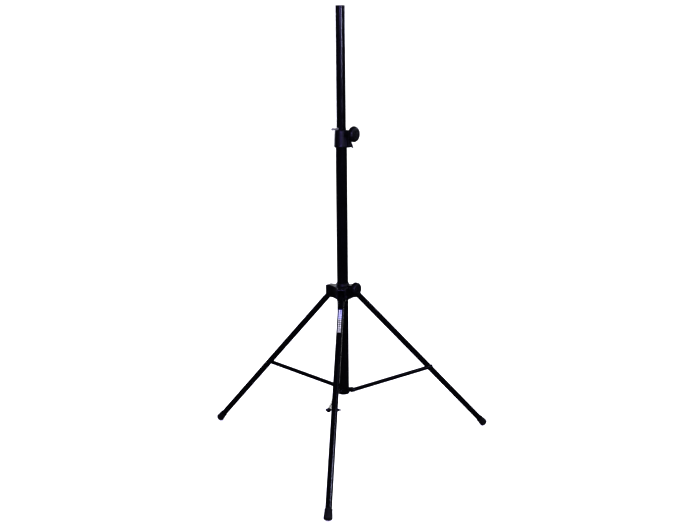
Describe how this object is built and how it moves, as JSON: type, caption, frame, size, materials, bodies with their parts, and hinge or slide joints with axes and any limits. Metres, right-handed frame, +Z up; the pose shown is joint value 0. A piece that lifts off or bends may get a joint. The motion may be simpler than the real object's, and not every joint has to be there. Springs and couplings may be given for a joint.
{
  "type": "speaker stand",
  "caption": "Folding tripod stand for a PA speaker: telescoping pole with clamp collar, safety pin, sliding leg hub, braced legs and rubber feet.",
  "frame": {"origin": "floor level, midway between the feet's furthest points; the column's axis is 157.5 mm behind it on +Y", "axes": "+Z up along the column, -Y towards the front leg, +X to the right of a viewer who faces the front leg"},
  "size_m": [1.121, 0.9751, 1.67],
  "materials": {
    "black_paint": "satin powder coat on steel tube",
    "black_plastic": "moulded glass-filled nylon, semi-matt",
    "rubber": "matt rubber",
    "zinc_steel": "bright zinc plate",
    "black_steel": "black zinc plate",
    "nylon": "plain nylon",
    "label_print": "printed film, plain bands with no lettering"
  },
  "bodies": {
    "column": {"brace_pivot_bolt_1": "black_steel", "brace_pivot_bolt_2": "black_steel", "brace_pivot_bolt_3": "black_steel", "brace_pivot_nut_1": "black_steel", "brace_pivot_nut_2": "black_steel", "brace_pivot_nut_3": "black_steel", "bracket_rivet_1": "black_steel", "bracket_rivet_2": "black_steel", "bracket_rivet_3": "black_steel", "clamp_collar": "black_plastic", "clamp_shoe": "nylon", "collar_bush": "nylon", "lower_bracket": "black_paint", "lower_tube": "black_paint", "tail_hook": "black_plastic", "tube_end_plug": "black_plastic"},
    "upper_pole": {"upper_pole": "black_paint", "pole_top_cap": "black_plastic", "pole_bottom_glide": "nylon"},
    "safety_pin": {"safety_pin": "zinc_steel"},
    "clamp_knob": {"clamp_knob": "black_plastic", "clamp_stud": "zinc_steel"},
    "leg_hub": {"leg_hub": "black_plastic", "hub_bush": "nylon", "hub_shoe": "nylon", "leg_pivot_bolt_1": "black_steel", "leg_pivot_bolt_2": "black_steel", "leg_pivot_bolt_3": "black_steel", "leg_pivot_nut_1": "black_steel", "leg_pivot_nut_2": "black_steel", "leg_pivot_nut_3": "black_steel"},
    "hub_knob": {"hub_knob": "black_plastic", "hub_stud": "zinc_steel"},
    "leg_1": {"leg_tube_1": "black_paint", "foot_1": "rubber", "brace_nut_1": "black_steel", "leg_label": "label_print"},
    "leg_2": {"leg_tube_2": "black_paint", "foot_2": "rubber", "brace_nut_2": "black_steel"},
    "leg_3": {"leg_tube_3": "black_paint", "foot_3": "rubber", "brace_nut_3": "black_steel"},
    "brace_1": {"brace_tube_1": "black_paint", "brace_bolt_1": "black_steel"},
    "brace_2": {"brace_tube_2": "black_paint", "brace_bolt_2": "black_steel"},
    "brace_3": {"brace_tube_3": "black_paint", "brace_bolt_3": "black_steel"}
  },
  "joints": [
    {"name": "pole_slide", "type": "slide", "parent": "column", "child": "upper_pole", "axis": [0, 0, 1], "range_m": [0, 0.35]},
    {"name": "pin_pull", "type": "slide", "parent": "upper_pole", "child": "safety_pin", "axis": [-0.6428, -0.766, 0], "range_m": [0, 0.075]},
    {"name": "clamp_knob_turn", "type": "hinge", "parent": "column", "child": "clamp_knob", "pos_m": [0.05369, 0.1265, 1.216], "axis": [0.866, -0.5, 0], "range_deg": [0, 540]},
    {"name": "hub_slide", "type": "slide", "parent": "column", "child": "leg_hub", "axis": [0, 0, 1], "range_m": [0, 0.4185]},
    {"name": "hub_knob_turn", "type": "hinge", "parent": "leg_hub", "child": "hub_knob", "pos_m": [0.05369, 0.1265, 0.644], "axis": [0.866, -0.5, 0], "range_deg": [0, 540]},
    {"name": "leg_1_fold", "type": "hinge", "parent": "leg_hub", "child": "leg_1", "pos_m": [0, 0.1025, 0.62], "axis": [1, 0, 0], "range_deg": [0, 43.52]},
    {"name": "leg_2_fold", "type": "hinge", "parent": "leg_hub", "child": "leg_2", "pos_m": [0.04763, 0.185, 0.62], "axis": [-0.5, 0.866, 0], "range_deg": [0, 43.52]},
    {"name": "leg_3_fold", "type": "hinge", "parent": "leg_hub", "child": "leg_3", "pos_m": [-0.04763, 0.185, 0.62], "axis": [-0.5, -0.866, 0], "range_deg": [0, 43.52]},
    {"name": "brace_1_fold", "type": "hinge", "parent": "column", "child": "brace_1", "pos_m": [0, 0.1275, 0.245], "axis": [-1, 0, 0], "range_deg": [0, 78.15]},
    {"name": "brace_2_fold", "type": "hinge", "parent": "column", "child": "brace_2", "pos_m": [0.02598, 0.1725, 0.245], "axis": [0.5, -0.866, 0], "range_deg": [0, 78.15]},
    {"name": "brace_3_fold", "type": "hinge", "parent": "column", "child": "brace_3", "pos_m": [-0.02598, 0.1725, 0.245], "axis": [0.5, 0.866, 0], "range_deg": [0, 78.15]}
  ],
  "couplings": [
    {"joint": "leg_1_fold", "follows": "hub_slide", "rad_per_m": 1.813},
    {"joint": "leg_2_fold", "follows": "hub_slide", "rad_per_m": 1.813},
    {"joint": "leg_3_fold", "follows": "hub_slide", "rad_per_m": 1.813},
    {"joint": "brace_1_fold", "follows": "hub_slide", "rad_per_m": 3.2572},
    {"joint": "brace_2_fold", "follows": "hub_slide", "rad_per_m": 3.2572},
    {"joint": "brace_3_fold", "follows": "hub_slide", "rad_per_m": 3.2572}
  ]
}
